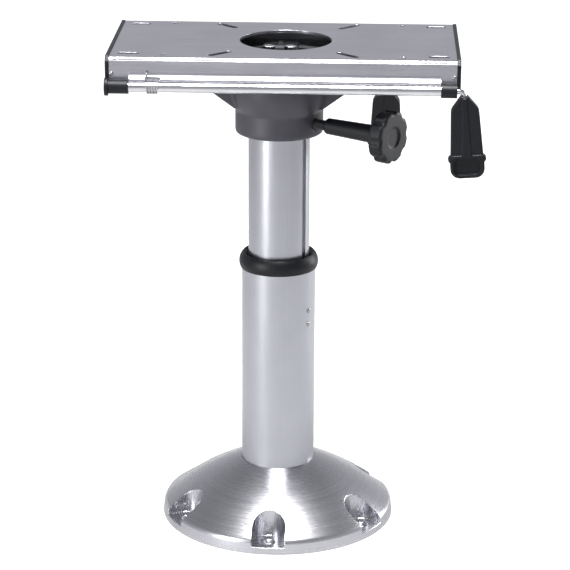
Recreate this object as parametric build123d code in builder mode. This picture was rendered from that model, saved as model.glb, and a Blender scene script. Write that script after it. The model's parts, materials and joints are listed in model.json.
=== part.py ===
from build123d import *
import os
from math import cos, radians, sin

# Adjustable boat seat pedestal: bolt-down base, telescoping column on a gas spring, swivel
# housing with a clamp knob and a release paddle, and a fore and aft seat slide.
# Millimetres. The origin is the centre of the base's underside, +Z is up, the slide runs
# along X, and the slide's lever is at the front, on the -Y side.

os.makedirs("parts", exist_ok=True)

# --- Fits ---------------------------------------------------------------------------------
running = 0.05  # radial clearance of a shaft in its hole
sliding = 0.3  # gap at a flat sliding face
touching = 0.1  # gap of a brake face that is about to touch

# --- Base ---------------------------------------------------------------------------------
base_radius = 117.0
base_height = 59.0
base_wall = 5.0
base_rim = 13.0
base_rim_draft = 1.5
base_rim_round = 8.0
dome_bulge = 3.6
hub_wall = 7.5
ledge_height = 4.0
ledge_width = 6.0
pocket_count = 6
pocket_pcd = 203.2
pocket_radius = 16.3
pocket_floor = 7.0
pocket_azimuth = -92.7
base_hole_radius = 3.5
countersink_radius = 6.5

# --- Column -------------------------------------------------------------------------------
tube_radius = 36.5
tube_wall = 3.2
tube_top = 268.0
post_radius = 30.15
post_wall = 3.6
post_lowest = 35.0
post_top = 430.0
lift_stroke = 110.0
key_azimuth = -33.0
key_width = 6.0
key_depth = 2.4
key_length = 40.0
key_height = 214.2
key_screw_pitch = 14.0
key_screw_radius = 1.6
key_head_radius = 2.5
key_head_height = 1.3
collar_lip = 2.7
collar_skirt = 6.5
collar_rise = 8.5
collar_depth = 28.0
guide_length = 20.0

# --- Gas spring ---------------------------------------------------------------------------
plate_height = 6.0
gas_rod_radius = 5.0
gas_rod_tail = 3.0
cylinder_radius = 14.0
cylinder_wall = 2.0
cylinder_cap = 10.0
cylinder_gap = 5.0
piston_height = 8.0
clip_height = 1.2
clip_radius = 9.0
valve_radius = 8.0
valve_rise = 15.0
pin_radius = 3.5
pin_head_radius = 5.0
pin_head_height = 2.0
pin_stroke = 2.5
pin_top = 450.0

# --- Post head and swivel -----------------------------------------------------------------
head_depth = 30.0
head_flange = 4.0
neck_radius = 14.0
neck_height = 13.0
washer_height = 2.0
washer_radius = 26.0
web_height = 5.0
ring_height = 1.5
ring_radius = 17.5
bush_wall = 3.85
lower_bush_height = 7.0
upper_bush_height = 15.0

# --- Swivel housing -----------------------------------------------------------------------
housing_bottom = 399.0
housing_radius = 43.0
housing_step = 424.0
housing_flare = 51.0
flare_top = 450.0
flange_top = 471.0
flange_height = 6.0
flange_half_x = 80.0
flange_half_y = 54.0
flange_corner = 12.0
wing_half = 24.0
wing_wall = 5.0
boss_radius = 9.0
boss_length = 16.0
carriage_bolt_x = 64.0
carriage_bolt_y = 45.5
carriage_bolt_radius = 4.0
nut_height = 6.5
bolt_head_height = 4.4

# --- Clamp knob ---------------------------------------------------------------------------
clamp_azimuth = -33.0
clamp_height = 413.0
clamp_travel = 0.9
screw_radius = 5.0
screw_tip_radius = 3.0
screw_tip_length = 2.0
pad_radius = 6.5
pad_length = 5.0
sleeve_start = 56.0
sleeve_end = 119.0
sleeve_radius_in = 7.75
sleeve_radius_out = 9.0
knob_radius = 25.3
knob_height = 14.0
knob_lobes = 8
scallop_radius = 6.5
scallop_depth = 2.0

# --- Height lever -------------------------------------------------------------------------
lever_height = 457.0
lever_rod_radius = 4.0
lever_end_radius = 2.4
lever_reach = 104.0
lever_bend = 10.0
lever_drop = 17.0
lever_tilt = 20.0
lever_swing = 35.0
cam_width = 11.0
cam_gap = 0.3
block_half_x = 17.0
block_half_y = 13.0
block_bottom = 451.5
strap_height = 3.0
strap_half_y = 47.0
block_screw_x = 10.5
block_screw_radius = 3.0
block_head_radius = 5.0
block_head_height = 6.3
strap_screw_radius = 2.0
strap_screw_y = 42.5

# --- Seat slide ---------------------------------------------------------------------------
slide_top = 490.0
slide_half_x = 163.0
slide_half_y = 83.0
slide_offset = 6.0
slide_back_travel = 35.0
slide_fore_travel = 55.0
rail_plate = 3.0
rail_wall = 3.0
rail_height = 28.0
rail_return = 17.0
rail_round = 4.1
lip_reach = 5.0
lip_top = 19.7
lip_height = 2.5
flare_height = 14.0
seat_hole_radius = 44.5
slot_x = 146.0
slot_y = 65.5
slot_length = 20.0
slot_radius = 3.2
small_hole_x = 112.5
small_hole_y = 70.0
small_hole_radius = 2.6
diagonal_x = 60.0
diagonal_y = 62.0
diagonal_length = 28.0
carriage_half_x = 95.0
carriage_plate = 4.0
carriage_web = 5.0
carriage_opening = 38.0
glide_wall = 2.4
cap_thickness = 3.5
cap_proud = 0.9
cap_screw_radius = 1.2
cap_screw_inset = 2.5
cap_screw_drop = 16.0
stop_length = 10.0

# --- Slide lever --------------------------------------------------------------------------
slide_rod_radius = 4.7
slide_rod_drop = 27.3
slide_rod_out = 5.2
bearing_radius = 6.5
left_bearing = 19.0
right_bearing = 15.0
spring_wire = 0.8
spring_turns = 4.25
spring_pitch = 2.6
spring_x = -127.0
latch_x = 30.0
latch_width = 12.0
latch_thickness = 3.6
slide_grip_x = 169.5
slide_grip_drop = 4.0
slide_grip_lean = 4.0
slide_bend = 5.0

# --- Paddle grip, both levers -------------------------------------------------------------
grip_length = 79.0
grip_neck = 3.4
grip_shoulder = 13.2
grip_shoulder_at = 14.5
grip_waist = 15.5
grip_waist_at = 57.0
grip_ear = 18.0
grip_ear_height = 7.0
grip_foot = 16.2
grip_foot_round = 9.0
grip_thickness = 9.0
grip_ridge = 1.0
grip_pocket = 3.2
grip_rim = 3.4

# --- Worked out from the above ------------------------------------------------------------
tube_bore = tube_radius - tube_wall
collar_radius = tube_radius + collar_lip
post_bore = post_radius - post_wall
post_bottom = post_lowest + lift_stroke
neck_top = post_top + head_flange + neck_height
web_bottom = post_top + head_flange + washer_height
housing_bore = post_radius + bush_wall
cylinder_bottom = post_bottom + cylinder_gap
cylinder_top = post_top + head_flange - valve_rise
carriage_top = flange_top + carriage_plate
strap_top = carriage_top + strap_height
pad_rest_gap = clamp_travel + touching
cam_radius = lever_height - pin_top - cam_gap
cam_throw = pin_stroke / sin(radians(lever_swing))
rail_bottom = slide_top - rail_height
rail_inner_top = slide_top - rail_plate
rail_inner_bottom = rail_bottom + rail_plate
rail_inner_y = slide_half_y - rail_wall
rail_mouth = slide_half_y - rail_return
rod_z = slide_top - slide_rod_drop
rod_y = -slide_half_y - slide_rod_out
rod_left = slide_offset - slide_half_x
rod_right = slide_offset + slide_half_x
coil_radius = slide_rod_radius + 0.4 + spring_wire
cap_screw_x = slide_half_x - cap_screw_inset
cap_screw_z = slide_top - cap_screw_drop

clamp_direction = Vector(cos(radians(clamp_azimuth)), sin(radians(clamp_azimuth)), 0)
clamp_plane = Plane(origin=(0, 0, clamp_height), x_dir=(0, 0, 1), z_dir=clamp_direction)
key_direction = Vector(cos(radians(key_azimuth)), sin(radians(key_azimuth)), 0)
key_plane = Plane(origin=(0, 0, key_height), x_dir=(0, 0, 1), z_dir=key_direction)
rod_plane = Plane(origin=(0, rod_y, rod_z), x_dir=(0, 1, 0), z_dir=(1, 0, 0))
lever_plane = Plane(origin=(0, 0, lever_height), x_dir=(0, 1, 0), z_dir=(1, 0, 0))


def finish(piece, name):
    """Labels a finished piece and writes it as the node of that name."""
    piece.part.label = name
    export_step(piece.part, f"parts/{name}.step")
    print(name, round(piece.part.volume), len(piece.part.solids()))


# --- Base casting -------------------------------------------------------------------------
def dome(inset):
    """Draws half of the base's dome, set in by a wall thickness."""
    rim = base_radius - base_rim_draft - inset
    foot = base_radius - inset
    middle = (tube_radius + rim) / 2
    crown = base_height - inset
    shoulder = base_rim - inset / 2
    Line((0, 0), (foot, 0))
    Line((foot, 0), (rim, shoulder))
    ThreePointArc((rim, shoulder), (middle, (crown + shoulder) / 2 + dome_bulge), (tube_radius, crown))
    Line((tube_radius, crown), (0, crown))
    Line((0, crown), (0, 0))


with BuildPart() as base_cavity:
    with BuildSketch(Plane.XZ):
        with BuildLine():
            dome(base_wall)
        make_face()
    revolve(axis=Axis.Z)
    hub_radius = tube_radius + hub_wall
    pocket_boss = pocket_radius + base_wall
    with BuildSketch(Plane.XY):
        Circle(hub_radius)
        with PolarLocations(pocket_pcd / 2, pocket_count, start_angle=pocket_azimuth):
            Circle(pocket_boss)
            Rectangle(pocket_pcd - 2 * tube_radius, base_wall, align=(Align.MAX, Align.CENTER))
    extrude(amount=base_height, mode=Mode.SUBTRACT)

with BuildPart() as base_casting:
    with BuildSketch(Plane.XZ):
        with BuildLine():
            dome(0)
        make_face()
    revolve(axis=Axis.Z)
    rim_edges = base_casting.edges().filter_by(GeomType.CIRCLE).group_by(Axis.Z)[1]
    fillet(rim_edges, radius=base_rim_round)
    add(base_cavity.part, mode=Mode.SUBTRACT)
    with BuildSketch(Plane.XY.offset(ledge_height)):
        Circle(tube_radius)
    extrude(amount=base_height, mode=Mode.SUBTRACT)
    with BuildSketch(Plane.XY):
        Circle(tube_radius - ledge_width)
    extrude(amount=ledge_height, mode=Mode.SUBTRACT)
    with BuildSketch(Plane.XY.offset(pocket_floor)):
        with PolarLocations(pocket_pcd / 2, pocket_count, start_angle=pocket_azimuth):
            Circle(pocket_radius)
            Rectangle(base_radius, 2 * pocket_radius, align=(Align.MIN, Align.CENTER))
    extrude(amount=base_height, mode=Mode.SUBTRACT)
    with PolarLocations(pocket_pcd / 2, pocket_count, start_angle=pocket_azimuth):
        with Locations((0, 0, pocket_floor)):
            CounterSinkHole(base_hole_radius, countersink_radius, depth=2 * pocket_floor)
finish(base_casting, "base_casting")

# --- Outer tube and its key -----------------------------------------------------------------
with BuildPart() as outer_tube:
    with BuildSketch(Plane.XY.offset(ledge_height)):
        Circle(tube_radius)
        Circle(tube_bore, mode=Mode.SUBTRACT)
    extrude(amount=tube_top - ledge_height)
    with BuildSketch(key_plane):
        with GridLocations(key_screw_pitch, 0, 2, 1):
            Circle(key_screw_radius)
    extrude(amount=2 * tube_radius, mode=Mode.SUBTRACT)
finish(outer_tube, "outer_tube")

with BuildPart() as key:
    with BuildSketch(key_plane):
        SlotOverall(key_length, key_width - 2 * touching)
    extrude(amount=tube_radius)
    with BuildSketch(Plane.XY.offset(key_height - key_length)):
        Circle(post_radius - key_depth + sliding)
    extrude(amount=2 * key_length, mode=Mode.SUBTRACT)
    with BuildSketch(Plane.XY.offset(key_height - key_length)):
        Circle(tube_bore)
    extrude(amount=2 * key_length, mode=Mode.INTERSECT)
    with BuildSketch(key_plane):
        with GridLocations(key_screw_pitch, 0, 2, 1):
            Circle(key_screw_radius)
    extrude(amount=2 * tube_radius, mode=Mode.SUBTRACT)
finish(key, "key")

with BuildPart() as key_screws:
    screw_depth = tube_radius - post_radius + key_depth - 2 * sliding
    with BuildSketch(key_plane.offset(tube_radius - screw_depth)):
        with GridLocations(key_screw_pitch, 0, 2, 1):
            Circle(key_screw_radius)
    extrude(amount=screw_depth)
    with BuildSketch(key_plane.offset(tube_radius)):
        with GridLocations(key_screw_pitch, 0, 2, 1):
            Circle(key_head_radius)
    extrude(amount=key_head_height)
    fillet(key_screws.edges().group_by(Axis(origin=(0, 0, 0), direction=key_direction))[-1],
           radius=key_head_height * 0.9)
finish(key_screws, "key_screws")

# --- Collar -------------------------------------------------------------------------------
with BuildPart() as collar:
    collar_bottom = tube_top - collar_skirt
    collar_top = tube_top + collar_rise
    with BuildSketch(Plane.XZ):
        with BuildLine():
            Polyline(
                (post_radius + running, tube_top - collar_depth),
                (tube_bore, tube_top - collar_depth),
                (tube_bore, tube_top),
                (tube_radius, tube_top),
                (tube_radius, collar_bottom),
                (tube_radius + collar_lip / 2, collar_bottom),
            )
            ThreePointArc(
                (tube_radius + collar_lip / 2, collar_bottom),
                (collar_radius, tube_top + 1),
                (tube_radius, collar_top - 1),
            )
            Polyline(
                (tube_radius, collar_top - 1),
                (tube_radius - collar_lip / 3, collar_top),
                (tube_bore + collar_lip / 3, collar_top),
                (post_radius + running, collar_top - 4),
                (post_radius + running, tube_top - collar_depth),
            )
        make_face()
    revolve(axis=Axis.Z)
finish(collar, "collar")

# --- Column foot: plate and piston rod ----------------------------------------------------
with BuildPart() as bottom_plate:
    with BuildSketch(Plane.XY.offset(ledge_height)):
        Circle(tube_bore)
        Circle(gas_rod_radius, mode=Mode.SUBTRACT)
    extrude(amount=plate_height)
finish(bottom_plate, "bottom_plate")

with BuildPart() as piston_rod:
    with BuildSketch(Plane.XY.offset(ledge_height - gas_rod_tail)):
        Circle(gas_rod_radius)
    extrude(amount=cylinder_bottom + cylinder_cap + piston_height - ledge_height + gas_rod_tail)
    with BuildSketch(Plane.XY.offset(ledge_height - clip_height)):
        Circle(gas_rod_radius)
        Circle(gas_rod_radius - clip_height, mode=Mode.SUBTRACT)
    extrude(amount=clip_height, mode=Mode.SUBTRACT)
finish(piston_rod, "piston_rod")

with BuildPart() as rod_clip:
    with BuildSketch(Plane.XY.offset(ledge_height - clip_height)):
        Circle(clip_radius)
        Circle(gas_rod_radius - clip_height, mode=Mode.SUBTRACT)
        Rectangle(clip_radius, gas_rod_radius, align=(Align.MIN, Align.CENTER), mode=Mode.SUBTRACT)
    extrude(amount=clip_height)
finish(rod_clip, "rod_clip")

with BuildPart() as piston:
    with BuildSketch(Plane.XY.offset(cylinder_bottom + cylinder_cap + sliding)):
        Circle(cylinder_radius - cylinder_wall - running)
        Circle(gas_rod_radius, mode=Mode.SUBTRACT)
    extrude(amount=piston_height - sliding)
finish(piston, "piston")

# --- Post and what rides in it --------------------------------------------------------------
with BuildPart() as post:
    with BuildSketch(Plane.XY.offset(post_bottom)):
        Circle(post_radius)
        Circle(post_bore, mode=Mode.SUBTRACT)
        with Locations(key_direction * post_radius):
            Rectangle(2 * key_depth, key_width, rotation=key_azimuth, mode=Mode.SUBTRACT)
    extrude(amount=post_top - post_bottom)
finish(post, "post")

with BuildPart() as guide_ring:
    with BuildSketch(Plane.XY.offset(post_bottom)):
        Circle(tube_bore - running)
        Circle(post_radius, mode=Mode.SUBTRACT)
    extrude(amount=guide_length)
finish(guide_ring, "guide_ring")

with BuildPart() as gas_cylinder:
    with BuildSketch(Plane.XY.offset(cylinder_bottom)):
        Circle(cylinder_radius)
    extrude(amount=cylinder_top - cylinder_bottom)
    with BuildSketch(Plane.XY.offset(cylinder_top)):
        Circle(valve_radius)
    extrude(amount=valve_rise)
    with BuildSketch(Plane.XY.offset(cylinder_bottom + cylinder_cap)):
        Circle(cylinder_radius - cylinder_wall)
    extrude(amount=cylinder_top - cylinder_bottom - 2 * cylinder_cap, mode=Mode.SUBTRACT)
    with BuildSketch(Plane.XY.offset(cylinder_bottom)):
        Circle(gas_rod_radius + running)
    extrude(amount=cylinder_cap, mode=Mode.SUBTRACT)
    with BuildSketch(Plane.XY.offset(cylinder_top)):
        Circle(pin_radius + running)
    extrude(amount=valve_rise, mode=Mode.SUBTRACT)
finish(gas_cylinder, "gas_cylinder")

with BuildPart() as release_pin:
    with BuildSketch(Plane.XY.offset(cylinder_top + 2 * pin_stroke)):
        Circle(pin_radius)
    extrude(amount=pin_top - cylinder_top - 2 * pin_stroke)
    with BuildSketch(Plane.XY.offset(pin_top - pin_head_height)):
        Circle(pin_head_radius)
    extrude(amount=pin_head_height)
finish(release_pin, "release_pin")

with BuildPart() as post_head:
    with BuildSketch(Plane.XY.offset(post_top - head_depth)):
        Circle(post_bore)
    extrude(amount=head_depth)
    with BuildSketch(Plane.XY.offset(post_top)):
        Circle(post_radius)
    extrude(amount=head_flange)
    with BuildSketch(Plane.XY.offset(post_top + head_flange)):
        Circle(neck_radius)
    extrude(amount=neck_height)
    with BuildSketch(Plane.XY.offset(post_top - head_depth)):
        Circle(cylinder_radius)
    extrude(amount=cylinder_top - post_top + head_depth, mode=Mode.SUBTRACT)
    with BuildSketch(Plane.XY.offset(cylinder_top)):
        Circle(valve_radius)
    extrude(amount=neck_top - cylinder_top, mode=Mode.SUBTRACT)
    with BuildSketch(Plane.XY.offset(web_bottom + web_height + sliding)):
        Circle(neck_radius)
        Circle(neck_radius - ring_height, mode=Mode.SUBTRACT)
    extrude(amount=ring_height, mode=Mode.SUBTRACT)
finish(post_head, "post_head")

with BuildPart() as retaining_ring:
    with BuildSketch(Plane.XY.offset(web_bottom + web_height + sliding)):
        Circle(ring_radius)
        Circle(neck_radius - ring_height, mode=Mode.SUBTRACT)
        Rectangle(ring_radius, ring_height, align=(Align.MIN, Align.CENTER), mode=Mode.SUBTRACT)
    extrude(amount=ring_height)
finish(retaining_ring, "retaining_ring")

with BuildPart() as thrust_washer:
    with BuildSketch(Plane.XY.offset(post_top + head_flange + touching / 2)):
        Circle(washer_radius)
        Circle(neck_radius + running, mode=Mode.SUBTRACT)
    extrude(amount=washer_height - touching / 2)
finish(thrust_washer, "thrust_washer")

# --- Swivel housing -----------------------------------------------------------------------
flange_bottom = flange_top - flange_height
web_top = web_bottom + web_height
wing_low = housing_step + 3
wing_mid_x = flange_half_x - 8
wing_mid_z = flange_bottom - 17
cavity_radius = housing_radius - wing_wall


def wing(inset):
    """Draws the outline of both wings from the front, set in by a wall thickness."""
    Polyline(
        (-flange_half_x + inset, flange_bottom),
        (-flange_half_x + inset, flange_bottom - 9 + inset),
        (-wing_mid_x + inset, wing_mid_z + inset),
        (-housing_radius + inset, wing_low + inset),
        (housing_radius - inset, wing_low + inset),
        (wing_mid_x - inset, wing_mid_z + inset),
        (flange_half_x - inset, flange_bottom - 9 + inset),
        (flange_half_x - inset, flange_bottom),
        close=True,
    )


with BuildPart() as housing:
    with BuildSketch(Plane.XZ):
        with BuildLine():
            Polyline(
                (0, housing_bottom),
                (housing_radius, housing_bottom),
                (housing_radius, housing_step - 1),
                (housing_radius + 1, housing_step),
            )
            ThreePointArc(
                (housing_radius + 1, housing_step),
                (housing_flare - 1.5, (housing_step + flare_top) / 2),
                (housing_flare, flare_top),
            )
            Polyline(
                (housing_flare, flare_top),
                (housing_flare + 1, flange_bottom),
                (0, flange_bottom),
                (0, housing_bottom),
            )
        make_face()
    revolve(axis=Axis.Z)
    fillet(housing.edges().filter_by(GeomType.CIRCLE).group_by(Axis.Z)[0], radius=3)
    with BuildSketch(Plane.XZ):
        with BuildLine():
            wing(0)
        make_face()
    extrude(amount=wing_half, both=True)
    with BuildSketch(Plane.XY.offset(flange_bottom)):
        RectangleRounded(2 * flange_half_x, 2 * flange_half_y, flange_corner)
    extrude(amount=flange_height)
    with BuildSketch(Plane.XZ):
        with BuildLine():
            wing(wing_wall)
        make_face()
        Rectangle(2 * cavity_radius, 2 * cavity_radius, align=(Align.CENTER, Align.MAX), mode=Mode.SUBTRACT)
        with Locations((0, web_top)):
            Rectangle(4 * housing_radius, 2 * housing_radius, align=(Align.CENTER, Align.MAX),
                      mode=Mode.SUBTRACT)
    extrude(amount=wing_half - wing_wall, both=True, mode=Mode.SUBTRACT)
    with BuildSketch(Plane.XZ):
        with BuildLine():
            Polyline(
                (0, web_top),
                (cavity_radius, web_top),
                (housing_flare - wing_wall, flare_top),
                (housing_flare - wing_wall, flange_top),
                (0, flange_top),
                close=True,
            )
        make_face()
    revolve(axis=Axis.Z, mode=Mode.SUBTRACT)
    with BuildSketch(lever_plane.offset(flange_half_x - boss_length)):
        Circle(boss_radius)
    extrude(amount=boss_length)
    with BuildSketch(Plane.XY.offset(housing_bottom)):
        Circle(housing_bore)
    extrude(amount=web_bottom - housing_bottom, mode=Mode.SUBTRACT)
    with BuildSketch(Plane.XY.offset(web_bottom)):
        Circle(neck_radius + running)
    extrude(amount=web_height, mode=Mode.SUBTRACT)
    with BuildSketch(lever_plane):
        Circle(boss_radius - 3)
    extrude(amount=2 * flange_half_x, mode=Mode.SUBTRACT)
    with BuildSketch(clamp_plane):
        Circle(screw_radius + running)
    extrude(amount=2 * housing_radius, mode=Mode.SUBTRACT)
    with BuildSketch(clamp_plane):
        Circle(pad_radius + running)
    extrude(amount=post_radius + pad_rest_gap + pad_length + 1, mode=Mode.SUBTRACT)
    with BuildSketch(Plane.XY.offset(flange_bottom)):
        with GridLocations(2 * carriage_bolt_x, 2 * carriage_bolt_y, 2, 2):
            Circle(carriage_bolt_radius)
    extrude(amount=flange_height, mode=Mode.SUBTRACT)
finish(housing, "swivel_housing")

bush_heights = {
    "lower_bush": (housing_bottom + 0.5, lower_bush_height),
    "upper_bush": (web_bottom - upper_bush_height - 1, upper_bush_height),
}
for bush_name, (bush_bottom, bush_height) in bush_heights.items():
    with BuildPart() as bush:
        with BuildSketch(Plane.XY.offset(bush_bottom)):
            Circle(housing_bore)
            Circle(post_radius + running, mode=Mode.SUBTRACT)
        extrude(amount=bush_height)
    finish(bush, bush_name)

# --- Clamp: brake pad, screw, sleeve and knob -----------------------------------------------
pad_face = post_radius + pad_rest_gap
pad_back = pad_face + pad_length
with BuildPart() as brake_pad:
    with BuildSketch(clamp_plane):
        Circle(pad_radius)
    extrude(amount=pad_back)
    with BuildSketch(Plane.XY.offset(clamp_height - 2 * pad_radius)):
        Circle(pad_face)
    extrude(amount=4 * pad_radius, mode=Mode.SUBTRACT)
    with BuildSketch(clamp_plane.offset(pad_back - screw_tip_length)):
        Circle(screw_tip_radius + running)
    extrude(amount=screw_tip_length, mode=Mode.SUBTRACT)
finish(brake_pad, "brake_pad")

with BuildPart() as clamp_screw:
    with BuildSketch(clamp_plane.offset(pad_back + running)):
        Circle(screw_radius)
    extrude(amount=sleeve_end - pad_back - running)
    with BuildSketch(clamp_plane.offset(pad_back + running)):
        Circle(screw_tip_radius)
    extrude(amount=-screw_tip_length + 2 * running)
finish(clamp_screw, "clamp_screw")

with BuildPart() as clamp_sleeve:
    with BuildSketch(clamp_plane.offset(sleeve_start)):
        Circle(sleeve_radius_in)
    with BuildSketch(clamp_plane.offset(sleeve_end)):
        Circle(sleeve_radius_out)
    loft()
    sleeve_edges = clamp_sleeve.edges().filter_by(GeomType.CIRCLE)
    chamfer(sleeve_edges.sort_by(Axis(origin=(0, 0, 0), direction=clamp_direction))[0], length=1.5)
    with BuildSketch(clamp_plane.offset(sleeve_start)):
        Circle(screw_radius)
    extrude(amount=sleeve_end - sleeve_start, mode=Mode.SUBTRACT)
finish(clamp_sleeve, "clamp_sleeve")

with BuildPart() as clamp_knob:
    with BuildSketch(clamp_plane.offset(sleeve_end)):
        Circle(knob_radius)
        with PolarLocations(knob_radius + scallop_radius - scallop_depth, knob_lobes):
            Circle(scallop_radius, mode=Mode.SUBTRACT)
        fillet(vertices(), radius=scallop_depth)
    extrude(amount=knob_height)
    outward = Axis(origin=(0, 0, 0), direction=clamp_direction)
    fillet(clamp_knob.faces().sort_by(outward)[-1].edges(), radius=3)
    fillet(clamp_knob.faces().filter_by(GeomType.PLANE).sort_by(outward)[0].edges(), radius=2)
    with BuildSketch(clamp_plane.offset(sleeve_end + knob_height - 1.5)):
        Circle(knob_radius / 2.6)
    extrude(amount=2, taper=-20, mode=Mode.SUBTRACT)
finish(clamp_knob, "clamp_knob")

# --- Height lever ---------------------------------------------------------------------------
with BuildPart() as paddle:
    with BuildSketch(Plane.XY):
        with BuildLine():
            Polyline(
                (0, 0),
                (grip_neck, 0),
                (grip_shoulder, -grip_shoulder_at + 2),
                (grip_waist, -grip_waist_at),
                (grip_foot, -grip_waist_at - grip_ear_height / 2),
                (grip_foot, -grip_length),
                (0, -grip_length),
                (0, 0),
            )
        make_face()
        mirror(about=Plane.YZ)
        shoulders = vertices().group_by(Axis.Y)[-2]
        fillet(shoulders, radius=grip_shoulder_at - 5)
        feet = vertices().group_by(Axis.Y)[0].filter_by(lambda v: abs(v.X) > grip_neck)
        fillet(feet, radius=grip_foot_round)
        with Locations((0, -grip_waist_at - grip_ear_height / 2)):
            SlotOverall(2 * grip_ear, grip_ear_height)
    extrude(amount=grip_thickness / 2, both=True)
    fillet(paddle.faces().sort_by(Axis.Z)[-1].edges() + paddle.faces().sort_by(Axis.Z)[0].edges(),
           radius=1.4)
    with BuildSketch(Plane.XY):
        with BuildLine():
            Polyline(
                (-grip_neck / 2, -2),
                (grip_neck / 2, -2),
                (grip_neck * 1.3, -grip_waist_at),
                (-grip_neck * 1.3, -grip_waist_at),
                close=True,
            )
        make_face()
    extrude(amount=grip_thickness / 2 + grip_ridge, both=True)
    with BuildSketch(Plane.XY.offset(grip_thickness / 2)):
        with Locations((0, -grip_waist_at - 1)):
            Rectangle(2 * grip_waist - 3, 2.4)
    extrude(amount=grip_ridge)
    pocket_top = -grip_waist_at - 2.2
    pocket_bottom = -grip_length + grip_rim
    with BuildSketch(Plane.XY.offset(grip_thickness / 2 - grip_pocket)):
        with Locations((0, (pocket_top + pocket_bottom) / 2)):
            RectangleRounded(2 * (grip_foot - grip_rim), pocket_top - pocket_bottom,
                             grip_foot_round - grip_rim)
    extrude(amount=grip_thickness, mode=Mode.SUBTRACT)


def bent_wire(points, radius, bend):
    """Makes a round wire along straight runs joined by bends."""
    with BuildPart() as wire:
        with BuildLine() as path:
            FilletPolyline(*points, radius=bend)
        with BuildSketch(Plane(origin=path.line @ 0, z_dir=path.line % 0)):
            Circle(radius)
        sweep(path=path.line)
    return wire.part


tilt = radians(lever_tilt)
lever_down = Vector(0, sin(tilt), -cos(tilt))
lever_corner = Vector(lever_reach, 0, lever_height)
lever_grip_plane = Plane(origin=lever_corner + lever_down * lever_drop, x_dir=(1, 0, 0),
                         z_dir=(0, -cos(tilt), -sin(tilt)))
lever_straight = flange_half_x + 3
with BuildPart() as height_rod:
    with BuildSketch(lever_plane.offset(-block_half_x - 3)):
        Circle(lever_rod_radius)
    extrude(amount=lever_straight + block_half_x + 3)
    lever_run = [
        Vector(lever_straight, 0, lever_height),
        lever_corner,
        lever_corner + lever_down * (lever_drop + grip_shoulder_at),
    ]
    add(bent_wire(lever_run, lever_end_radius, lever_bend))
finish(height_rod, "height_lever_rod")

with BuildPart() as height_grip:
    with Locations(lever_grip_plane):
        add(paddle.part)
    add(height_rod.part, mode=Mode.SUBTRACT)
finish(height_grip, "height_lever_grip")

with BuildPart() as cam:
    with BuildSketch(lever_plane.offset(-cam_width / 2)):
        with Locations((-cam_throw, 0)):
            Circle(cam_radius)
        Circle(cam_radius)
        Circle(lever_rod_radius, mode=Mode.SUBTRACT)
    extrude(amount=cam_width)
finish(cam, "release_cam")

with BuildPart() as lever_clip:
    with BuildSketch(lever_plane.offset(-block_half_x - 2)):
        Circle(lever_rod_radius + 2.5)
        Circle(lever_rod_radius, mode=Mode.SUBTRACT)
    extrude(amount=1.2)
finish(lever_clip, "lever_clip")

with BuildPart() as lever_bush:
    with BuildSketch(lever_plane.offset(flange_half_x - boss_length)):
        Circle(boss_radius - 3)
        Circle(lever_rod_radius + running, mode=Mode.SUBTRACT)
    extrude(amount=boss_length)
    with BuildSketch(lever_plane.offset(flange_half_x)):
        Circle(boss_radius - 1)
        Circle(lever_rod_radius + running, mode=Mode.SUBTRACT)
    extrude(amount=1.5)
finish(lever_bush, "lever_bush")

# --- Release block, its strap and screws ----------------------------------------------------
with BuildPart() as release_block:
    with BuildSketch(Plane.XY.offset(block_bottom)):
        RectangleRounded(2 * block_half_x, 2 * block_half_y, 2)
    extrude(amount=carriage_top - block_bottom)
    with BuildSketch(Plane.XY.offset(carriage_top)):
        Rectangle(cam_width - 2, cam_width)
    extrude(amount=strap_height + block_head_height - 1)
    with BuildSketch(lever_plane.offset(-cam_width / 2 - 0.5)):
        Circle(cam_radius + cam_throw + 0.5)
        with Locations((0, -cam_radius)):
            Rectangle(2 * (cam_radius + cam_throw + 0.5), 4 * cam_radius, align=(Align.CENTER, Align.MAX))
    extrude(amount=cam_width + 1, mode=Mode.SUBTRACT)
    with BuildSketch(lever_plane.offset(-2 * block_half_x)):
        Circle(lever_rod_radius + running)
    extrude(amount=4 * block_half_x, mode=Mode.SUBTRACT)
    with BuildSketch(Plane.XY.offset(lever_height + lever_rod_radius + 2)):
        with GridLocations(2 * block_screw_x, 0, 2, 1):
            Circle(block_screw_radius)
    extrude(amount=carriage_top - lever_height, mode=Mode.SUBTRACT)
finish(release_block, "release_block")

with BuildPart() as strap:
    with BuildSketch(Plane.XY.offset(carriage_top)):
        Rectangle(2 * block_half_x, 2 * strap_half_y)
        Rectangle(cam_width - 2, cam_width, mode=Mode.SUBTRACT)
        with GridLocations(2 * block_screw_x, 0, 2, 1):
            Circle(block_screw_radius, mode=Mode.SUBTRACT)
        with GridLocations(0, 2 * strap_screw_y, 1, 2):
            Circle(strap_screw_radius, mode=Mode.SUBTRACT)
    extrude(amount=strap_height)
finish(strap, "release_strap")

with BuildPart() as block_screws:
    with BuildSketch(Plane.XY.offset(lever_height + lever_rod_radius + 2)):
        with GridLocations(2 * block_screw_x, 0, 2, 1):
            Circle(block_screw_radius)
    extrude(amount=strap_top - lever_height - lever_rod_radius - 2)
    with BuildSketch(Plane.XY.offset(strap_top)):
        with GridLocations(2 * block_screw_x, 0, 2, 1):
            RegularPolygon(block_head_radius, 6, major_radius=False)
    extrude(amount=block_head_height)
finish(block_screws, "block_screws")

with BuildPart() as strap_screws:
    with BuildSketch(Plane.XY.offset(flange_top)):
        with GridLocations(0, 2 * strap_screw_y, 1, 2):
            Circle(strap_screw_radius)
    extrude(amount=strap_top - flange_top)
    with BuildSketch(Plane.XY.offset(strap_top)):
        with GridLocations(0, 2 * strap_screw_y, 1, 2):
            Circle(1.8 * strap_screw_radius)
    extrude(amount=2.2)
finish(strap_screws, "strap_screws")

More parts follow.
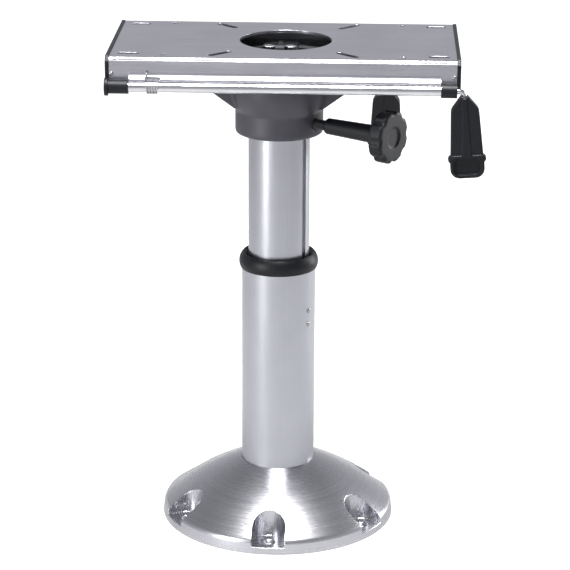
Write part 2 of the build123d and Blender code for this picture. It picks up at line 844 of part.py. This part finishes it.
# --- Lower half of the slide, fixed on the housing ------------------------------------------
web_low = rail_inner_bottom + sliding + glide_wall
web_high = rail_inner_top - sliding - glide_wall
glide_outer = rail_inner_y - sliding
web_outer = glide_outer - glide_wall
web_inner = web_outer - carriage_web
carriage_left = Plane.YZ.offset(-carriage_half_x)
carriage_middle = (web_low + web_high) / 2
channel_height = web_high - web_low

with BuildPart() as carriage:
    with BuildSketch(carriage_left):
        with Locations((0, flange_top)):
            Rectangle(2 * web_inner, carriage_plate, align=(Align.CENTER, Align.MIN))
        with Locations((-web_outer, carriage_middle)):
            Rectangle(carriage_web, channel_height, align=(Align.MIN, Align.CENTER))
        with Locations((web_outer, carriage_middle)):
            Rectangle(carriage_web, channel_height, align=(Align.MAX, Align.CENTER))
    extrude(amount=2 * carriage_half_x)
    with BuildSketch(Plane.XY.offset(flange_top)):
        Circle(carriage_opening)
        with GridLocations(2 * carriage_bolt_x, 2 * carriage_bolt_y, 2, 2):
            Circle(carriage_bolt_radius)
        with GridLocations(0, 2 * strap_screw_y, 1, 2):
            Circle(strap_screw_radius)
    extrude(amount=carriage_plate, mode=Mode.SUBTRACT)
finish(carriage, "carriage")

for glide_name, side in {"front_glide": -1, "rear_glide": 1}.items():
    with BuildPart() as glide:
        with BuildSketch(carriage_left):
            with Locations((side * glide_outer, carriage_middle)):
                inward = (Align.MIN if side < 0 else Align.MAX, Align.CENTER)
                Rectangle(carriage_web + glide_wall + 1, channel_height + 2 * glide_wall, align=inward)
            with Locations((side * web_outer, carriage_middle)):
                Rectangle(2 * carriage_web, channel_height, align=inward, mode=Mode.SUBTRACT)
        extrude(amount=2 * carriage_half_x)
    finish(glide, glide_name)

with BuildPart() as carriage_bolts:
    with BuildSketch(Plane.XY.offset(flange_bottom - nut_height - 1.5)):
        with GridLocations(2 * carriage_bolt_x, 2 * carriage_bolt_y, 2, 2):
            Circle(carriage_bolt_radius)
    extrude(amount=carriage_top - flange_bottom + nut_height + 1.5)
    with BuildSketch(Plane.XY.offset(carriage_top)):
        with GridLocations(2 * carriage_bolt_x, 2 * carriage_bolt_y, 2, 2):
            Circle(1.75 * carriage_bolt_radius)
    extrude(amount=bolt_head_height)
    fillet(carriage_bolts.edges().group_by(Axis.Z)[-1], radius=2.5)
    with BuildSketch(Plane.XY.offset(carriage_top + bolt_head_height / 2)):
        with GridLocations(2 * carriage_bolt_x, 2 * carriage_bolt_y, 2, 2):
            RegularPolygon(2.5, 6, major_radius=False)
    extrude(amount=4, mode=Mode.SUBTRACT)
finish(carriage_bolts, "carriage_bolts")

with BuildPart() as carriage_nuts:
    with BuildSketch(Plane.XY.offset(flange_bottom - nut_height)):
        with GridLocations(2 * carriage_bolt_x, 2 * carriage_bolt_y, 2, 2):
            RegularPolygon(1.625 * carriage_bolt_radius, 6, major_radius=False)
            Circle(carriage_bolt_radius, mode=Mode.SUBTRACT)
    extrude(amount=nut_height)
finish(carriage_nuts, "carriage_nuts")

# --- Upper half of the slide ------------------------------------------------------------------
slide_plane = Plane(origin=(slide_offset, 0, slide_top - rail_plate))
rail_left = Plane.YZ.offset(rod_left)
bearing_spans = {"left": (rod_left, left_bearing), "right": (rod_right - right_bearing, right_bearing)}

with BuildPart() as rail:
    with BuildSketch(rail_left):
        with BuildLine():
            lip_y = slide_half_y + lip_reach
            lip_z = slide_top - lip_top
            flare_z = slide_top - flare_height
            Polyline((0, slide_top), (slide_half_y - rail_round, slide_top))
            RadiusArc((slide_half_y - rail_round, slide_top),
                      (slide_half_y, slide_top - rail_round), rail_round)
            Line((slide_half_y, slide_top - rail_round), (slide_half_y, flare_z))
            RadiusArc((slide_half_y, flare_z), (lip_y, lip_z), -(lip_top - flare_height) * 1.15)
            Polyline(
                (lip_y, lip_z),
                (lip_y, lip_z - lip_height),
                (slide_half_y, lip_z - lip_height),
                (slide_half_y, rail_bottom),
                (rail_mouth, rail_bottom),
                (rail_mouth, rail_inner_bottom),
                (rail_inner_y, rail_inner_bottom),
                (rail_inner_y, rail_inner_top),
                (0, rail_inner_top),
                (0, slide_top),
            )
        make_face()
        mirror(about=Plane.YZ)
        with Locations((-slide_half_y, slide_top - rail_round + 1.6)):
            Rectangle(1.2, 0.7, mode=Mode.SUBTRACT)
    extrude(amount=2 * slide_half_x)
    for bearing_left, bearing_length in bearing_spans.values():
        with BuildSketch(Plane.YZ.offset(bearing_left)):
            with Locations((-slide_half_y, rail_bottom)):
                Rectangle(3 * lip_reach, rail_height - rail_round - 2, align=(Align.MAX, Align.MIN))
            with Locations((rod_y, rod_z)):
                Circle(bearing_radius)
        extrude(amount=bearing_length, mode=Mode.SUBTRACT)
    notch_height = rod_z + coil_radius + 4 * spring_wire - rail_bottom
    with BuildSketch(Plane.YZ.offset(slide_offset + spring_x - 2 * spring_wire)):
        with Locations((-slide_half_y, rail_bottom)):
            Rectangle(3 * lip_reach, notch_height, align=(Align.MAX, Align.MIN))
        with Locations((rod_y, rod_z)):
            Circle(coil_radius + spring_wire + sliding)
    extrude(amount=spring_turns * spring_pitch + 4 * spring_wire, mode=Mode.SUBTRACT)
    with BuildSketch(slide_plane):
        Circle(seat_hole_radius)
        with GridLocations(2 * slot_x, 2 * slot_y, 2, 2):
            SlotOverall(slot_length, 2 * slot_radius)
        with GridLocations(2 * small_hole_x, 2 * small_hole_y, 2, 2):
            Circle(small_hole_radius)
        for corner_x in (-1, 1):
            for corner_y in (-1, 1):
                with Locations((corner_x * diagonal_x, corner_y * diagonal_y)):
                    SlotOverall(diagonal_length, 2 * slot_radius, rotation=45 * corner_x * corner_y)
    extrude(amount=rail_plate, mode=Mode.SUBTRACT)
    with BuildSketch(Plane.XZ.offset(rail_inner_y)):
        with Locations((slide_offset + spring_x, slide_top - flare_height)):
            Circle(spring_wire + 0.2)
        for end_x in (-1, 1):
            with Locations((slide_offset + end_x * cap_screw_x, cap_screw_z)):
                Circle(cap_screw_radius)
    extrude(amount=rail_wall, mode=Mode.SUBTRACT)
finish(rail, "slide_rail")

cap_lug = slide_half_x - slide_offset - carriage_half_x - slide_fore_travel - sliding
for cap_name, side in {"left_cap": -1, "right_cap": 1}.items():
    cap_plane = Plane.YZ.offset(slide_offset + side * slide_half_x)
    cap_y = slide_half_y + cap_proud
    cap_bottom = rail_bottom - 1.5
    with BuildPart() as cap:
        with BuildSketch(cap_plane):
            with BuildLine():
                Polyline(
                    (-cap_y, cap_bottom),
                    (cap_y, cap_bottom),
                    (cap_y, slide_top - rail_round),
                    (slide_half_y - rail_round, slide_top + cap_proud),
                    (-slide_half_y + rail_round, slide_top + cap_proud),
                    (-cap_y, slide_top - rail_round),
                    close=True,
                )
            make_face()
            if side < 0:
                with Locations((rod_y, rod_z)):
                    Circle(bearing_radius + 2)
            fillet(vertices().group_by(Axis.Y)[-1] + vertices().group_by(Axis.Y)[-2], radius=1.5)
        extrude(amount=side * cap_thickness)
        with BuildSketch(cap_plane):
            with GridLocations(2 * (rail_inner_y - 5), 0, 2, 1):
                with Locations((0, carriage_middle)):
                    Rectangle(10, channel_height)
        extrude(amount=-side * cap_lug)
        with BuildSketch(Plane.XZ.offset(rail_inner_y - 8)):
            with Locations((slide_offset + side * cap_screw_x, cap_screw_z)):
                Circle(cap_screw_radius)
        extrude(amount=8, mode=Mode.SUBTRACT)
    finish(cap, cap_name)

with BuildPart() as cap_screws:
    with BuildSketch(Plane.XZ.offset(rail_inner_y - 8)):
        for end_x in (-1, 1):
            with Locations((slide_offset + end_x * cap_screw_x, cap_screw_z)):
                Circle(cap_screw_radius)
    extrude(amount=8 + rail_wall)
    with BuildSketch(Plane.XZ.offset(slide_half_y)):
        for end_x in (-1, 1):
            with Locations((slide_offset + end_x * cap_screw_x, cap_screw_z)):
                Circle(1.75 * cap_screw_radius)
    extrude(amount=1.1)
    fillet(cap_screws.edges().group_by(Axis.Y)[0], radius=0.9)
finish(cap_screws, "cap_screws")

with BuildPart() as stop_blocks:
    stop_left = carriage_half_x + slide_back_travel + sliding
    with BuildSketch(Plane.YZ.offset(stop_left)):
        with GridLocations(2 * (rail_inner_y - 4), 0, 2, 1):
            with Locations((0, carriage_middle)):
                Rectangle(8, rail_inner_top - rail_inner_bottom)
    extrude(amount=stop_length)
finish(stop_blocks, "stop_blocks")

for bearing_name, (bearing_left, bearing_length) in bearing_spans.items():
    with BuildPart() as bearing:
        with BuildSketch(rod_plane.offset(bearing_left)):
            Circle(bearing_radius)
            Circle(slide_rod_radius + running, mode=Mode.SUBTRACT)
        extrude(amount=bearing_length)
    finish(bearing, f"{bearing_name}_rod_bearing")

# --- Slide lever: rod, friction latch, spring and grip ----------------------------------------
slide_corner = Vector(slide_offset + slide_grip_x, rod_y, rod_z)
lean = radians(slide_grip_lean)
slide_down = Vector(sin(lean), 0, -cos(lean))
slide_grip_plane = Plane(origin=slide_corner + slide_down * slide_grip_drop,
                         x_dir=(cos(lean), 0, sin(lean)), z_dir=(0, -1, 0))
hook_x = slide_offset + spring_x + spring_turns * spring_pitch
with BuildPart() as slide_rod:
    with BuildSketch(rod_plane.offset(rod_left + sliding)):
        Circle(slide_rod_radius)
    extrude(amount=rod_right - rod_left - 2 * sliding)
    slide_run = [
        Vector(rod_right - 1, rod_y, rod_z),
        slide_corner,
        slide_corner + slide_down * (slide_grip_drop + grip_shoulder_at),
    ]
    add(bent_wire(slide_run, lever_end_radius, slide_bend))
    with BuildSketch(Plane(origin=(hook_x, rod_y, rod_z), x_dir=(1, 0, 0), z_dir=(0, 1, 0))):
        Circle(spring_wire + touching)
    extrude(amount=2 * slide_rod_radius, both=True, mode=Mode.SUBTRACT)
finish(slide_rod, "slide_lever_rod")

with BuildPart() as slide_grip:
    with Locations(slide_grip_plane):
        add(paddle.part)
    add(slide_rod.part, mode=Mode.SUBTRACT)
finish(slide_grip, "slide_lever_grip")

with BuildPart() as latch_arm:
    latch_tip_y = -rail_mouth + 9
    latch_plane = Plane.YZ.offset(latch_x - latch_width / 2)
    latch_top = rail_bottom - sliding
    with BuildSketch(latch_plane):
        with Locations((rod_y, latch_top)):
            Rectangle(latch_tip_y - rod_y, latch_thickness, align=(Align.MIN, Align.MAX))
        with Locations((latch_tip_y, latch_top - latch_thickness)):
            Rectangle(6, latch_thickness + 6, align=(Align.MAX, Align.MIN))
    extrude(amount=latch_width)
    with BuildSketch(rod_plane.offset(latch_x - latch_width)):
        Circle(slide_rod_radius)
    extrude(amount=2 * latch_width, mode=Mode.SUBTRACT)
finish(latch_arm, "latch_arm")

with BuildPart() as latch_shoe:
    with BuildSketch(latch_plane):
        with Locations((latch_tip_y, flange_top - touching)):
            Rectangle(6, flange_top - touching - latch_top - 6, align=(Align.MAX, Align.MAX))
    extrude(amount=latch_width)
finish(latch_shoe, "latch_shoe")

spring_left = slide_offset + spring_x
spring_height = spring_turns * spring_pitch
with BuildPart() as spring:
    with BuildLine() as coil:
        Helix(pitch=spring_pitch, height=spring_height, radius=coil_radius,
              center=(spring_left, rod_y, rod_z), direction=(1, 0, 0))
    with BuildSketch(Plane(origin=coil.line @ 0, z_dir=coil.line % 0)):
        Circle(spring_wire)
    sweep(path=coil.line, is_frenet=True)
    coil_start = Vector(spring_left, rod_y, rod_z + coil_radius)
    wall_hole_z = slide_top - flare_height
    leg_run = [
        coil_start,
        Vector(spring_left, rod_y - 0.5, wall_hole_z),
        Vector(spring_left, rail_wall - slide_half_y, wall_hole_z),
    ]
    add(bent_wire(leg_run, spring_wire, 2 * spring_wire))
    hook_run = Plane(origin=(hook_x, rod_y - coil_radius, rod_z), x_dir=(1, 0, 0), z_dir=(0, 1, 0))
    with BuildSketch(hook_run):
        Circle(spring_wire)
    extrude(amount=coil_radius)
    with Locations(coil_start, hook_run.origin):
        Sphere(spring_wire)
finish(spring, "torsion_spring")
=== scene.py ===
"""Looks of an adjustable boat seat pedestal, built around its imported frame. Metres, +Z up."""
import json
from math import cos, pi, radians, sin

import bmesh
import bpy
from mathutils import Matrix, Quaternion, Vector


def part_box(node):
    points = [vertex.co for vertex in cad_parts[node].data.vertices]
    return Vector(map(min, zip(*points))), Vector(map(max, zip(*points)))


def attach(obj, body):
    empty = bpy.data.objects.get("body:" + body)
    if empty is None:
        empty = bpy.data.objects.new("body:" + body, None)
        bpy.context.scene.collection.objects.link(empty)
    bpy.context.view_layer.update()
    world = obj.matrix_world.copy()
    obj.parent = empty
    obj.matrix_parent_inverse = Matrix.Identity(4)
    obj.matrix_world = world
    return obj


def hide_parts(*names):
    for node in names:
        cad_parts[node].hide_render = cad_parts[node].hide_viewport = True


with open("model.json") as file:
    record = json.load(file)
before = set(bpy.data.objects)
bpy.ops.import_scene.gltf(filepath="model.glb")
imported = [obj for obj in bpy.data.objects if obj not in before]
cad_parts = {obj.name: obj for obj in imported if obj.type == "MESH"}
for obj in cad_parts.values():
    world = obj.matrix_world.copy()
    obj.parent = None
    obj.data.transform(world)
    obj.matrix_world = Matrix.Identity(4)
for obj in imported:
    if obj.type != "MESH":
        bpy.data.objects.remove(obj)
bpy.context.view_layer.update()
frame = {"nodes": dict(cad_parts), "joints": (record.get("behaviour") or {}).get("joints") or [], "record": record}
nodes = frame["nodes"]
record = frame["record"]
joints = {joint["name"]: joint for joint in frame["joints"]}
body_of = {node: body for body, members in record["behaviour"]["bodies"].items() for node in members}
slot_of = {part["node"]: part["material_slot"] for part in record["subparts"]}
millimetre = 0.001


# --- Materials ------------------------------------------------------------------------------
def add(tree, kind, **values):
    """Adds a shader node and sets its inputs and settings by name."""
    node = tree.nodes.new("ShaderNode" + kind)
    for name, value in values.items():
        label = name.replace("_", " ").title()
        if label in node.inputs:
            node.inputs[label].default_value = value
        else:
            setattr(node, name, value)
    return node


def stretched(tree, scale):
    """The object's own coordinates, scaled along each axis."""
    place = add(tree, "TexCoord")
    mapping = add(tree, "Mapping", scale=scale)
    tree.links.new(place.outputs["Object"], mapping.inputs["Vector"])
    return mapping.outputs["Vector"]


def turned(tree, scale):
    """Coordinates for a part turned on a lathe about Z: its marks run round the axis."""
    place = add(tree, "TexCoord")
    flat = add(tree, "VectorMath", operation="MULTIPLY")
    flat.inputs[1].default_value = (1, 1, 0)
    tree.links.new(place.outputs["Object"], flat.inputs[0])
    radius = add(tree, "VectorMath", operation="LENGTH")
    tree.links.new(flat.outputs["Vector"], radius.inputs[0])
    height = add(tree, "SeparateXYZ")
    tree.links.new(place.outputs["Object"], height.inputs[0])
    both = add(tree, "CombineXYZ")
    tree.links.new(radius.outputs["Value"], both.inputs["X"])
    tree.links.new(height.outputs["Z"], both.inputs["Y"])
    mapping = add(tree, "Mapping", scale=scale)
    tree.links.new(both.outputs["Vector"], mapping.inputs["Vector"])
    return mapping.outputs["Vector"]


def finish(name, tones, rough, grain, relief, mottle=30.0, metallic=0.0, marks=stretched, painted_edge_highlight=0.0,
           **constants):
    """A procedural finish.

    tones: two near colours that slow mottling mixes. rough: lowest and highest roughness, read
    from the grain. grain: how fine the grain is along each axis, per metre. relief: depth of the
    grain's bump, in millimetres. painted_edge_highlight: how much lighter the convex edges are
    painted, a painted highlight along them."""
    material = bpy.data.materials.new(name)
    material.use_nodes = True
    tree = material.node_tree
    link = tree.links.new
    shader = tree.nodes["Principled BSDF"]
    shader.inputs["Metallic"].default_value = metallic
    for label, value in constants.items():
        shader.inputs[label.replace("_", " ").title().replace("Ior", "IOR")].default_value = value
    fine = add(tree, "TexNoise", scale=1.0, detail=5.0, roughness=0.6)
    link(marks(tree, grain), fine.inputs["Vector"])
    spread = add(tree, "MapRange")
    spread.inputs["From Min"].default_value = 0.3
    spread.inputs["From Max"].default_value = 0.7
    spread.inputs["To Min"].default_value = rough[0]
    spread.inputs["To Max"].default_value = rough[1]
    link(fine.outputs["Fac"], spread.inputs["Value"])
    link(spread.outputs["Result"], shader.inputs["Roughness"])
    slow = add(tree, "TexNoise", scale=mottle, detail=3.0)
    place = add(tree, "TexCoord")
    link(place.outputs["Object"], slow.inputs["Vector"])
    blend = add(tree, "Math", operation="MULTIPLY_ADD")
    blend.inputs[1].default_value = 0.5
    link(fine.outputs["Fac"], blend.inputs[0])
    half = add(tree, "Math", operation="MULTIPLY")
    half.inputs[1].default_value = 0.5
    link(slow.outputs["Fac"], half.inputs[0])
    link(half.outputs["Value"], blend.inputs[2])
    ramp = add(tree, "ValToRGB")
    ramp.color_ramp.elements[0].position = 0.38
    ramp.color_ramp.elements[0].color = (*tones[0], 1)
    ramp.color_ramp.elements[1].position = 0.62
    ramp.color_ramp.elements[1].color = (*tones[1], 1)
    link(blend.outputs["Value"], ramp.inputs["Fac"])
    colour = ramp.outputs["Color"]
    # Convex edges, found by pointiness, are mixed towards a lighter grey: a painted highlight along the edges.
    if painted_edge_highlight:
        shape = add(tree, "NewGeometry")
        edges = add(tree, "MapRange")
        edges.inputs["From Min"].default_value = 0.53
        edges.inputs["From Max"].default_value = 0.66
        edges.inputs["To Max"].default_value = painted_edge_highlight
        link(shape.outputs["Pointiness"], edges.inputs["Value"])
        edge_highlight_mix = add(tree, "Mix", data_type="RGBA")
        link(edges.outputs["Result"], edge_highlight_mix.inputs["Factor"])
        first_colour, second_colour = edge_highlight_mix.inputs[6], edge_highlight_mix.inputs[7]
        # The lighter grey of the painted edge highlight.
        second_colour.default_value = (0.3, 0.3, 0.32, 1)
        link(colour, first_colour)
        colour = edge_highlight_mix.outputs[2]
    link(colour, shader.inputs["Base Color"])
    bump = add(tree, "Bump", strength=1.0)
    bump.inputs["Distance"].default_value = relief * millimetre
    link(fine.outputs["Fac"], bump.inputs["Height"])
    link(bump.outputs["Normal"], shader.inputs["Normal"])
    return material


finishes = {
    "cast_aluminium": finish("cast_aluminium", ((0.49, 0.49, 0.52), (0.52, 0.52, 0.55)), (0.25, 0.29),
                             (700, 60, 1), 0.0001, metallic=1.0, marks=turned),
    "satin_tube": finish("satin_tube", ((0.40, 0.405, 0.44), (0.43, 0.435, 0.47)), (0.28, 0.36),
                         (900, 900, 14), 0.003, metallic=1.0),
    # The housing paint carries a painted highlight on its convex edges.
    "grey_paint": finish("grey_paint", ((0.036, 0.034, 0.046), (0.044, 0.042, 0.055)), (0.42, 0.52),
                         (1500, 1500, 1500), 0.010, mottle=60, painted_edge_highlight=0.18),
    "brushed_aluminium": finish("brushed_aluminium", ((0.42, 0.415, 0.46), (0.49, 0.485, 0.53)),
                                (0.26, 0.34), (7, 900, 900), 0.003, metallic=1.0, mottle=18),
    # Mill aluminium: its grey is darkened with painted shade, so the carriage deep in the top plate's hole looks
    # shaded.
    "mill_aluminium": finish("mill_aluminium", ((0.20, 0.205, 0.22), (0.27, 0.275, 0.29)), (0.35, 0.5),
                             (12, 700, 700), 0.010, metallic=1.0),
    "black_plastic": finish("black_plastic", ((0.0035, 0.004, 0.006), (0.006, 0.0065, 0.009)), (0.40, 0.48),
                            (2200, 2200, 2200), 0.010, mottle=80, specular_ior_level=0.25),
    "dark_plastic": finish("dark_plastic", ((0.030, 0.030, 0.036), (0.045, 0.045, 0.052)), (0.4, 0.5),
                           (1800, 1800, 1800), 0.012, mottle=80),
    "white_plastic": finish("white_plastic", ((0.74, 0.72, 0.66), (0.80, 0.79, 0.74)), (0.35, 0.45),
                            (1200, 1200, 1200), 0.008, mottle=50),
    "black_steel": finish("black_steel", ((0.018, 0.018, 0.021), (0.034, 0.034, 0.038)), (0.3, 0.42),
                          (1400, 1400, 1400), 0.008, mottle=90, metallic=0.6),
    "bright_steel": finish("bright_steel", ((0.32, 0.32, 0.33), (0.42, 0.42, 0.43)), (0.16, 0.26),
                           (600, 600, 600), 0.004, metallic=1.0),
    "polished_steel": finish("polished_steel", ((0.58, 0.58, 0.60), (0.66, 0.66, 0.68)), (0.14, 0.22),
                             (20, 1500, 1500), 0.002, metallic=1.0),
    "plain_steel": finish("plain_steel", ((0.34, 0.34, 0.35), (0.46, 0.46, 0.47)), (0.3, 0.45),
                          (500, 500, 500), 0.006, metallic=1.0),
    "brake_rubber": finish("brake_rubber", ((0.016, 0.016, 0.016), (0.028, 0.028, 0.028)), (0.7, 0.85),
                           (1600, 1600, 1600), 0.02),
}


def clad(piece, material):
    """Gives a piece one material."""
    piece.data.materials.clear()
    piece.data.materials.append(material)


for node_name, node_object in nodes.items():
    clad(node_object, finishes[slot_of[node_name]])


# --- Pieces ---------------------------------------------------------------------------------
def stand_for(piece, node):
    """The piece takes a node's place and body, and the finish of the node's slot."""
    clad(piece, finishes[slot_of[node]])
    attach(piece, body_of[node])
    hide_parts(node)
    return piece


def settled(piece):
    """Applies a piece's modifiers to its mesh."""
    graph = bpy.context.evaluated_depsgraph_get()
    mesh = bpy.data.meshes.new_from_object(piece.evaluated_get(graph))
    piece.modifiers.clear()
    piece.data = mesh
    return piece


def placed(name, mesh):
    """A new object in the scene."""
    piece = bpy.data.objects.new(name, mesh)
    bpy.context.scene.collection.objects.link(piece)
    return piece


def cast_form(node, name, voxel, passes):
    """A cast or moulded part: the node's shape with every edge and corner softened."""
    piece = placed(name, nodes[node].data.copy())
    skin = piece.modifiers.new("skin", "REMESH")
    skin.mode = "VOXEL"
    skin.voxel_size = voxel
    soften = piece.modifiers.new("soften", "SMOOTH")
    soften.factor = 0.5
    soften.iterations = passes
    settled(piece)
    piece.data.shade_smooth()
    return stand_for(piece, node)


def edged(node, name, width, steps=2):
    """A machined or extruded part: the node's shape with a small round along each sharp edge."""
    form = bmesh.new()
    form.from_mesh(nodes[node].data)
    bmesh.ops.remove_doubles(form, verts=form.verts, dist=2e-6)
    bmesh.ops.dissolve_limit(form, angle_limit=radians(0.3), verts=form.verts, edges=form.edges)
    sharp = [edge for edge in form.edges if edge.is_manifold and edge.calc_face_angle() > radians(35)]
    bmesh.ops.bevel(form, geom=sharp, offset=width, segments=steps, profile=0.5, affect="EDGES",
                    clamp_overlap=False)
    mesh = bpy.data.meshes.new(name)
    form.to_mesh(mesh)
    form.free()
    piece = placed(name, mesh)
    mesh.shade_smooth()
    mesh.set_sharp_from_angle(angle=radians(50))
    weigh = piece.modifiers.new("weigh", "WEIGHTED_NORMAL")
    weigh.keep_sharp = True
    settled(piece)
    return stand_for(piece, node)


def along(node, axis):
    """How far a node reaches along an axis through the origin: nearest and furthest."""
    reach = [vertex.co.dot(axis) for vertex in nodes[node].data.vertices]
    return min(reach), max(reach)


def threaded_screw():
    """The clamp screw with its thread, from the brake pad to the knob."""
    turn = joints["clamp_turn"]
    axis = Vector(turn["axis"]).normalized()
    up = Vector((0, 0, 1))
    side = up.cross(axis)
    centre = Vector(turn["pos_m"])
    start, end = along("clamp_screw", axis)
    radius = (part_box("clamp_screw")[1].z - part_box("clamp_screw")[0].z) / 2
    pitch = 1.5 * millimetre
    depth = 0.9 * millimetre
    crest_slope = 1.25  # more than 1 leaves a narrow flat on each crest
    round_steps = 40
    steps_per_turn = 8
    rings = int((end - start) / pitch * steps_per_turn)
    form = bmesh.new()
    last = None
    for ring in range(rings + 1):
        distance = start + (end - start) * ring / rings
        points = []
        for step in range(round_steps):
            angle = 2 * pi * step / round_steps
            phase = (distance / pitch - step / round_steps) % 1.0
            crest = abs(2 * phase - 1)
            reach = radius - depth * (1 - min(1, crest * crest_slope))
            offset = (up * cos(angle) + side * sin(angle)) * reach
            points.append(form.verts.new(centre + axis * distance + offset))
        if last:
            for step in range(round_steps):
                after = (step + 1) % round_steps
                form.faces.new((last[step], last[after], points[after], points[step]))
        else:
            form.faces.new(list(reversed(points)))
        last = points
    form.faces.new(last)
    bmesh.ops.recalc_face_normals(form, faces=form.faces)
    mesh = bpy.data.meshes.new("clamp_screw_thread")
    form.to_mesh(mesh)
    form.free()
    mesh.shade_smooth()
    return stand_for(placed("clamp_screw_thread", mesh), "clamp_screw")


cast_form("swivel_housing", "housing_casting", 1.0 * millimetre, 10)
cast_form("slide_lever_grip", "slide_lever_paddle", 0.4 * millimetre, 2)
cast_form("height_lever_grip", "height_lever_paddle", 0.4 * millimetre, 2)
cast_form("clamp_knob", "clamp_knob_moulding", 0.6 * millimetre, 5)
edged("slide_rail", "slide_extrusion", 0.35 * millimetre)
edged("base_casting", "base_shell", 0.7 * millimetre, 3)
edged("left_cap", "left_end_cap", 0.5 * millimetre)
edged("right_cap", "right_end_cap", 0.5 * millimetre)
edged("outer_tube", "column_tube", 0.4 * millimetre)
edged("block_screws", "block_screw_heads", 0.4 * millimetre)
edged("clamp_sleeve", "clamp_screw_sleeve", 0.6 * millimetre)
threaded_screw()


# --- Floor, light and camera ----------------------------------------------------------------
def studio_floor():
    """A plain pale floor, far wider than the view, that is brighter to the camera than to metals."""
    half = 9.0
    mesh = bpy.data.meshes.new("floor")
    corners = [(-half, -half, 0), (half, -half, 0), (half, half, 0), (-half, half, 0)]
    mesh.from_pydata(corners, [], [(0, 1, 2, 3)])
    floor = placed("floor", mesh)
    paper = finish("floor_paper", ((0.39, 0.39, 0.39), (0.41, 0.41, 0.41)), (0.8, 0.9), (3, 3, 3), 0.0,
                   emission_color=(1, 1, 1, 1))
    tree = paper.node_tree
    seen = add(tree, "LightPath")
    glow = add(tree, "MapRange")
    glow.inputs["To Min"].default_value = 0.16
    glow.inputs["To Max"].default_value = 0.85
    tree.links.new(seen.outputs["Is Camera Ray"], glow.inputs["Value"])
    tree.links.new(glow.outputs["Result"], tree.nodes["Principled BSDF"].inputs["Emission Strength"])
    clad(floor, paper)


def softbox(name, azimuth, elevation, distance, size, power):
    """A soft rectangular light that faces the middle of the object."""
    middle = Vector((0, 0, 0.25))
    towards = Vector((sin(azimuth) * cos(elevation), -cos(azimuth) * cos(elevation), sin(elevation)))
    data = bpy.data.lights.new(name, "AREA")
    data.shape = "RECTANGLE"
    data.size, data.size_y = size
    data.energy = power
    light = bpy.data.objects.new(name, data)
    light.location = middle + towards * distance
    light.rotation_euler = towards.to_track_quat("Z", "Y").to_euler()
    bpy.context.scene.collection.objects.link(light)


def studio_light():
    """A room that darkens upwards, a ceiling box, a strip to the left and one to the right."""
    world = bpy.data.worlds.new("room")
    world.use_nodes = True
    tree = world.node_tree
    place = add(tree, "TexCoord")
    parts = add(tree, "SeparateXYZ")
    tree.links.new(place.outputs["Generated"], parts.inputs[0])
    shade = add(tree, "ValToRGB")
    shade.color_ramp.elements[0].color = (0.66, 0.67, 0.70, 1)
    shade.color_ramp.elements[1].position = 0.75
    shade.color_ramp.elements[1].color = (0.26, 0.265, 0.28, 1)
    tree.links.new(parts.outputs["Z"], shade.inputs["Fac"])
    tree.links.new(shade.outputs["Color"], tree.nodes["Background"].inputs["Color"])
    bpy.context.scene.world = world
    softbox("ceiling", 0, radians(80), 2.2, (0.8, 1.2), 125)
    softbox("left_strip", radians(-47), radians(5), 2.0, (0.35, 1.9), 38)
    softbox("right_strip", radians(120), radians(8), 2.2, (0.5, 1.8), 34)


def photograph_camera():
    """The camera where the photograph was taken from."""
    azimuth, elevation, roll = radians(2.04), radians(18.3), radians(0.3)
    back = Vector((sin(azimuth) * cos(elevation), -cos(azimuth) * cos(elevation), sin(elevation)))
    data = bpy.data.cameras.new("camera")
    data.sensor_width = 36
    data.lens = 152.04
    camera = bpy.data.objects.new("camera", data)
    camera.location = Vector((0.0064, 0.0002, 0.2409)) + back * 2.4
    level = back.to_track_quat("Z", "Y")
    camera.rotation_euler = (level @ Quaternion((0, 0, 1), roll)).to_euler()
    bpy.context.scene.collection.objects.link(camera)
    bpy.context.scene.camera = camera


studio_floor()
studio_light()
photograph_camera()
bpy.context.scene.view_settings.view_transform = "Standard"

bpy.context.view_layer.update()
